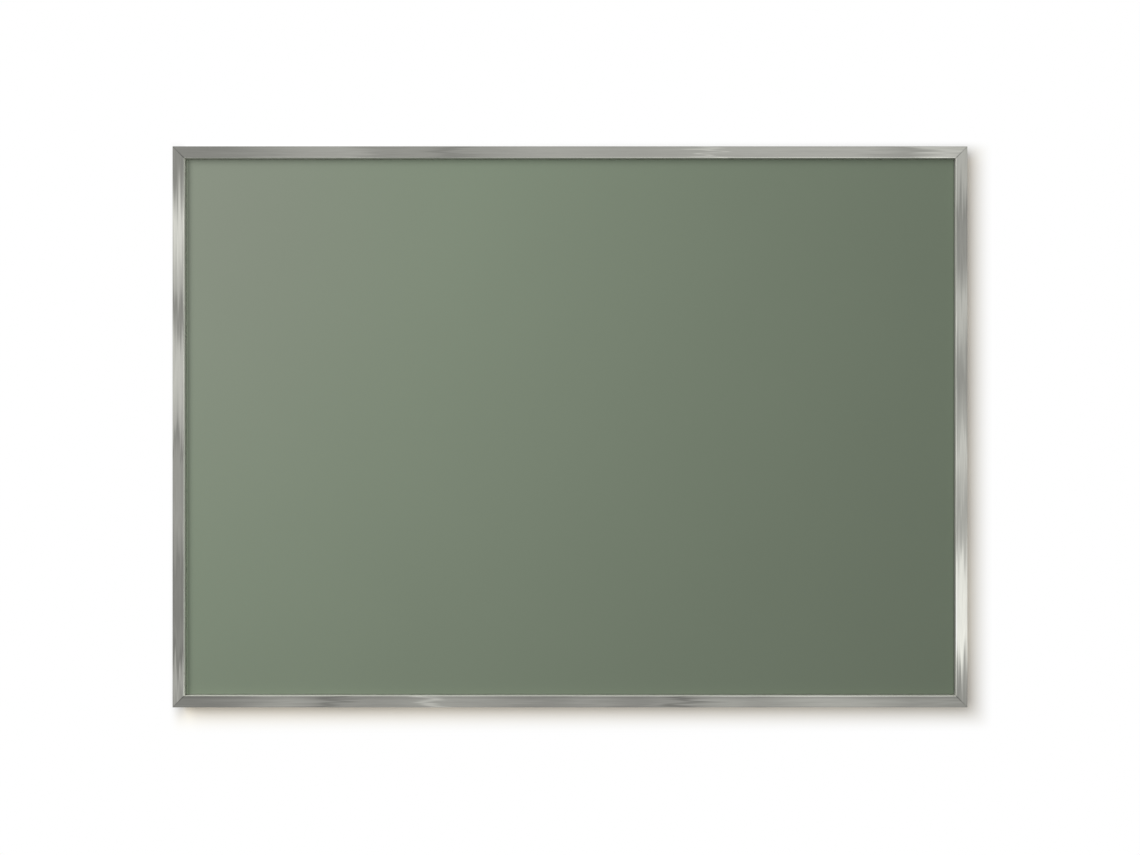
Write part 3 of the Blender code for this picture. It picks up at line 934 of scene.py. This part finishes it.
plating = {"metallic": 1.0, "relief": 0.000008, "gloss": 0.16}
scratches = ((400, 6000, 2500), 2.0, 0.6)
blotches = (260, 3.0, 0.5)
zinc = grained(
    "bright_zinc", (0.58, 0.58, 0.55), roughness=0.32,
    fine=(*scratches, 0.08), coarse=(*blotches, 0.10), **plating,
)
nickel = grained(
    "bright_nickel", (0.62, 0.60, 0.56), roughness=0.22,
    fine=(*scratches, 0.06), coarse=(*blotches, 0.05), **plating,
)
fibreboard = grained(
    "pressed_fibre", (0.30, 0.19, 0.10), roughness=0.85,
    fine=((500, 3500, 500), 4.0, 0.7, 0.25), coarse=((30, 1500, 30), 2.0, 0.5, 0.15), relief=0.00005,
)
rubber = grained(
    "button_rubber", (0.025, 0.025, 0.027), roughness=0.75,
    fine=(1200, 3.0, 0.5, 0.35), coarse=(150, 2.0, 0.5, 0.25), relief=0.00002,
)
print(zinc.name, nickel.name, fibreboard.name, rubber.name)


# %% Finishes on the pieces that keep their CAD shape
def refinish(node, finish):
    """Gives a CAD node a better material in the slot it has."""
    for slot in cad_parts[node].material_slots:
        slot.material = finish


refinish("core_board", fibreboard)
refinish("backing_sheet", galvanised)
for node in nodes_named("corner_plate_"):
    refinish(node, zinc)
print("core, backing and corner plates keep their CAD shape")

# %% [markdown]
# ## Pieces that repeat
#
# Screws, set screws, corner angles and bumpers are each one part, used many times. A tree makes the
# part once and puts it on every point of a small mesh that only holds the places. Each place has a
# turn of its own, and screws get a random turn on top, because nobody stops a screwdriver at the
# same angle twice. The tree ends by making the copies real.


# %% Helpers that repeat a part
def finished(result, geometry, finish):
    """Ends a tree: real geometry with its finish."""
    tree = result.id_data
    real = output(tree, "GeometryNodeRealizeInstances", {0: geometry})
    dressed = output(tree, "GeometryNodeSetMaterial", {"Geometry": real, "Material": finish})
    tree.links.new(dressed, result)
    print(f"{tree.name}: {len(tree.nodes)} nodes")


def copies(given, result, part, finish):
    """Ends a tree: the part on every point, turned about Y, with its finish."""
    tree = result.id_data
    own = output(tree, "GeometryNodeInputNamedAttribute", {"Name": "turn"})
    inputs = {3: 2 * math.pi, "Seed": given["seed"]}
    chance = add(tree, "FunctionNodeRandomValue", inputs, data_type="FLOAT").outputs[1]
    turn = maths("MULTIPLY_ADD", chance, given["spin"], own)
    turn = output(tree, "FunctionNodeEulerToRotation", {0: vector(tree, y=turn)})
    inputs = {"Points": given["Geometry"], "Instance": part, "Rotation": turn}
    finished(result, output(tree, "GeometryNodeInstanceOnPoints", inputs), finish)


def places(name, points, turns=None):
    """A mesh of loose points: where a part goes and how it is turned."""
    mesh = bpy.data.meshes.new(name)
    mesh.from_pydata(points, [], [])
    turn = mesh.attributes.new("turn", "FLOAT", "POINT")
    turn.data.foreach_set("value", turns or [0.0] * len(points))
    return linked(name, mesh)


def turned_about_x(part, angle):
    """Turns a part about the X axis; a quarter turn back makes its Z run to the wall."""
    inputs = {"Geometry": part, "Rotation": (angle, 0, 0)}
    return output(part.id_data, "GeometryNodeTransform", inputs)


def boolean(tree, operation, inputs):
    """One exact Boolean step."""
    settings = {"operation": operation, "solver": "EXACT"}
    return output(tree, "GeometryNodeMeshBoolean", inputs, **settings)


def box_mesh(x, y, z, lift):
    """A box of those sizes whose centre is lifted along Z."""
    tree = x.id_data
    cube = output(tree, "GeometryNodeMeshCube", {"Size": vector(tree, x, y, z)})
    inputs = {"Geometry": cube, "Translation": vector(tree, z=lift)}
    return output(tree, "GeometryNodeTransform", inputs)


def ball(tree, segments, rings):
    """A ball of radius 1."""
    inputs = {"Segments": segments, "Rings": rings, "Radius": 1.0}
    return output(tree, "GeometryNodeMeshUVSphere", inputs)


def bar(tree, around, lengthwise):
    """A round bar of radius 1 and length 1, in that many steps around and along."""
    inputs = {"Vertices": around, "Side Segments": lengthwise, "Radius": 1.0, "Depth": 1.0}
    return output(tree, "GeometryNodeMeshCylinder", inputs, fill_type="NGON")


def threaded(given, radius, height):
    """The radius of a round bar at each point, less what the thread takes off."""
    x, y, _ = position(height.id_data)
    angle = maths("DIVIDE", maths("ARCTAN2", y, x), 2 * math.pi)
    phase = maths("FRACT", plus(maths("DIVIDE", height, given["pitch"]), angle))
    ridge = maths("ABSOLUTE", maths("MULTIPLY_ADD", phase, 2.0, -1.0))
    return minus(radius, times(given["thread_depth"], minus(1.0, ridge)))


# %% [markdown]
# ## The pan screws
#
# A pan screw has a low domed head with a cross recess. The head starts as a ball: its lower half is
# pressed flat to make the seat, and its upper half is squeezed to the height of the dome. The
# thread is a ridge that climbs one pitch for each turn, so its height depends on the angle.

# %% Tree for the pan screws
head_height = 0.0016
seat_level = -0.01
tip_share = 0.35
screw_tree, given, result = sized_tree(
    "pan_screws", head_radius=0.0029, head_height=head_height, head_rim=0.0005, shank_radius=0.0015,
    shank_length=0.010, tip_length=0.0012, pitch=0.0011, thread_depth=0.0003, recess_length=0.0031,
    recess_width=0.0007, recess_depth=0.0009, spin=1.0, seed=0,
)
tree = screw_tree
x, y, z = position(tree)
crown = minus(given["head_height"], given["head_rim"])
dome = maths("MULTIPLY_ADD", z, crown, given["head_rim"])
dome = times(dome, maths("GREATER_THAN", z, seat_level))
head = turned_part(ball(tree, 40, 24), given["head_radius"], dome)
head = output(tree, "GeometryNodeMergeByDistance", {"Geometry": head, "Distance": weld_distance})

overlap = times(given["head_rim"], 0.5)
full_length = plus(given["shank_length"], overlap)
height = plus(times(minus(z, 0.5), full_length), overlap)
from_tip = plus(height, given["shank_length"])
taper = mixed(tip_share, 1.0, maths("DIVIDE", from_tip, given["tip_length"]))
radius = times(threaded(given, given["shank_radius"], height), taper)
shank = turned_part(bar(tree, 24, 44), radius, height)
screw = boolean(tree, "UNION", {"Mesh 2": [head, shank]})
deep = times(given["recess_depth"], 2.0)
arm = (given["recess_length"], given["recess_width"])
arms = [box_mesh(x, y, deep, given["head_height"]) for x, y in (arm, arm[::-1])]
screw = boolean(tree, "DIFFERENCE", {"Mesh 1": screw, "Mesh 2": arms})
copies(given, result, turned_about_x(screw, -math.pi / 2), zinc)

# %% Panel screws and hanger screws
for name, nodes, seed in (("panel_screws", panel_screws, 4), ("hanger_screws", hanger_screws, 9)):
    low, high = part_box(nodes[0])
    seat = high.y - head_height
    spots = [(x, seat, z) for x, z in spots_of(nodes)]
    screws = shaped(places(name, spots), screw_tree, shank_length=seat - low.y, seed=seed)
    on_board(edges_broken(screws), "zinc_plated_steel", *nodes)

# %% [markdown]
# ## The set screws
#
# Two headless screws in each angle press on the plate below and jam the angle against the lips, and
# that is all that holds a mitre together. They have a slot across the top, a small chamfer, and a
# fine thread that shows where they stand out of the angle.

# %% Tree for the set screws
tree, given, result = sized_tree(
    "set_screws", radius=0.0020, length=0.005, chamfer=0.0003, pitch=0.0005, thread_depth=0.0002,
    slot_width=0.0006, slot_depth=0.0008, spin=1.0, seed=3,
)
height = times(position(tree)["Z"], given["length"])
half = times(given["length"], 0.5)
to_end = minus(half, maths("ABSOLUTE", height))
coned = plus(minus(given["radius"], given["chamfer"]), to_end)
radius = maths("MINIMUM", threaded(given, given["radius"], height), coned)
body = turned_part(bar(tree, 36, 48), radius, height)
across = times(given["radius"], 4.0)
deep = times(given["slot_depth"], 2.0)
slot = box_mesh(across, given["slot_width"], deep, half)
body = boolean(tree, "DIFFERENCE", {"Mesh 1": body, "Mesh 2": slot})
copies(given, result, turned_about_x(body, -math.pi / 2), zinc)

# %% Eight set screws
set_nodes = nodes_named("set_screw_")
low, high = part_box(set_nodes[0])
set_screws = shaped(places("set_screws", list(map(middle, set_nodes))), tree, length=high.y - low.y)
on_board(edges_broken(set_screws), "zinc_plated_steel", *set_nodes)

# %% [markdown]
# ## The corner angles
#
# Each angle is a flat L, stamped from strip. Its outline is drawn once, measured inward from the
# board's corner, and the same L turned by quarter turns fits all four corners. The press leaves the
# edges slightly rounded.

# %% Tree for the corner angles
tree, given, result = sized_tree("corner_angles", section=None, thickness=0.0016, spin=0.0, seed=0)
drawn = add(tree, "GeometryNodeObjectInfo", {"Object": given["section"]}).outputs["Geometry"]
inputs = {"Geometry": drawn, "length": given["thickness"]}
stamped = output(tree, "GeometryNodeGroup", inputs, node_tree=section_tree)
copies(given, result, turned_about_x(stamped, math.pi / 2), zinc)

# %% Four corner angles
angle_leg = 0.0340
angle_clearance = 0.0003
root_corner = 0.0020
leg_corner = 0.0006
set_hole_radius = 0.00215
set_hole_inset = 0.0240
stamped_edge = 0.00015

near = rail_wall + angle_clearance
far = face_width - near
ell = [
    (near, near, root_corner),
    (angle_leg, near, leg_corner),
    (angle_leg, far, leg_corner),
    (far, far, root_radius),
    (far, angle_leg, leg_corner),
    (near, angle_leg, leg_corner),
]
hole_spots = [(set_hole_inset, face_width / 2), (face_width / 2, set_hole_inset)]
holes = [arc(spot, set_hole_radius, 0, 360, 32)[:-1] for spot in hole_spots]
angle_section = outline("angle_section", [filleted(ell), *holes])
angle_y = middle("corner_angle_top_left").y
turns = {(-1, -1): 0.0, (1, -1): -math.pi / 2, (1, 1): math.pi, (-1, 1): math.pi / 2}
spots = [(x * board_width / 2, angle_y, z * board_height / 2) for x, z in turns]
corner_places = places("corner_angles", spots, list(turns.values()))
angles = shaped(corner_places, tree, section=angle_section)
discard(angle_section)
on_board(edges_broken(angles, stamped_edge), "zinc_plated_steel", *nodes_named("corner_angle_"))

# %% [markdown]
# ## The wall bumpers
#
# Four rubber buttons keep the frame off the wall and stop it sliding. A button like that is a short
# cylinder with everything rounded. Raising a ball's width and height to a small power swells it
# into that shape, which is called a superellipsoid.

# %% Tree for the bumpers
tree, given, result = sized_tree(
    "wall_bumpers", radius=0.0055, height=0.0030, fullness=0.22, spin=0.0, seed=0
)
x, y, z = position(tree)
flat = plus(times(x, x), times(y, y))
width = maths("MAXIMUM", maths("SQRT", flat), 1e-5)
swell = times(maths("POWER", width, minus(given["fullness"], 1.0)), given["radius"])
rise = maths("POWER", maths("ABSOLUTE", z), given["fullness"])
rise = times(rise, maths("SIGN", z), 0.5, given["height"])
button = turned_part(ball(tree, 48, 32), swell, rise)
copies(given, result, turned_about_x(button, -math.pi / 2), rubber)

# %% Four bumpers
bumper_nodes = nodes_named("wall_bumper_")
bumpers = shaped(places("wall_bumpers", list(map(middle, bumper_nodes))), tree)
on_board(edges_broken(bumpers), "black_rubber", *bumper_nodes)

# %% [markdown]
# ## The hanger straps
#
# A strap is a strip of steel whose end is rolled round the ring's bar, seen from the side as a 6
# with an open loop. That side view is drawn and extruded to the strip's width. Then the plan is
# cut: a round lower end and two screw holes.

# %% Two straps
strap_thickness = 0.0012
strap_width = 0.0080
strap_length = 0.0360
strap_drill = (front_y + 0.0150, front_y + 0.0180)
eye_inner = 0.0014
eye_outer = eye_inner + strap_thickness
eye_end = 180 - 290
eye_steps = 40
axis_y = front_y + 0.0184
axis_z = 0.3 * board_height
axis_spots = {side: (middle(f"hanger_strap_{side}").x, axis_y, axis_z) for side in ("left", "right")}

view = arc((0, 0), eye_outer, 180, eye_end, eye_steps)
view += arc((0, 0), eye_inner, eye_end, 180, eye_steps)
view += [(-eye_inner, -strap_length), (-eye_outer, -strap_length)]
side_on = Matrix((along_y, along_z, along_x)).transposed().to_4x4()
end_radius = strap_width / 2
end_centre = end_radius - strap_length
plan = arc((0, end_centre), end_radius, 180, 360, eye_steps)
plan += [(strap_width, end_centre), (strap_width, 2 * eye_outer)]
plan += [(-strap_width, 2 * eye_outer), (-strap_width, end_centre)]

for side, spot in axis_spots.items():
    strap = shaped(outline(f"hanger_strap_{side}_formed", [view]), section_tree, length=strap_width)
    strap.data.transform(Matrix.Translation(spot) @ side_on)
    blank = shaped(outline("plan", [plan]), section_tree, length=4 * eye_outer)
    blank.data.transform(upright(spot))
    strap = combined(strap, blank.data, "INTERSECT")
    discard(blank)
    holes = spots_of(node for node in hanger_screws if side in node)
    strap = combined(strap, drills(holes, hole_radius, *strap_drill))
    strap = edges_broken(strap, stamped_edge)
    on_board(strap, "zinc_plated_steel", f"hanger_strap_{side}", finish=zinc)

# %% [markdown]
# ## The rings
#
# Each ring is a wire bent into a D. Its straight side turns in the eye of the strap, so the ring is
# a body of its own and swings. The wire follows a path, and a tree sweeps a circle along it.

# %% Tree for bent wire
wire_radius = 0.0011
tree, given, result = sized_tree("bent_wire", wire_radius=wire_radius, facets=20)
inputs = {"Resolution": given["facets"], "Radius": given["wire_radius"]}
round_wire = output(tree, "GeometryNodeCurvePrimitiveCircle", inputs)
inputs = {"Curve": given["Geometry"], "Profile Curve": round_wire}
finished(result, output(tree, "GeometryNodeCurveToMesh", inputs), nickel)

# %% Two rings
ring_opening = 0.0110
ring_half = ring_opening / 2 + wire_radius
ring_corner = 0.0022
ring_leg = 0.0062

path = arc((ring_half - ring_corner, -ring_corner), ring_corner, 90, 0, 10)
path += arc((0, -ring_leg), ring_half, 0, -180, 40)
path += arc((ring_corner - ring_half, -ring_corner), ring_corner, 180, 90, 10)
for side, spot in axis_spots.items():
    ring = shaped(outline(f"hanger_ring_{side}_wire", [path]), tree)
    ring.data.transform(upright(spot))
    work = bmesh.new()
    work.from_mesh(ring.data)
    bmesh.ops.recalc_face_normals(work, faces=work.faces)
    work.to_mesh(ring.data)
    work.free()
    ring.data.shade_smooth()
    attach(ring, f"ring_{side}")
    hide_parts(f"hanger_ring_{side}")
    print(f"{ring.name}: {len(ring.data.polygons)} faces")

# %% [markdown]
# ## Colour on screen
#
# The view is set to plain colour, so that a shade on screen is the shade that was mixed.

# %% Colour
bpy.context.scene.view_settings.view_transform = "Standard"
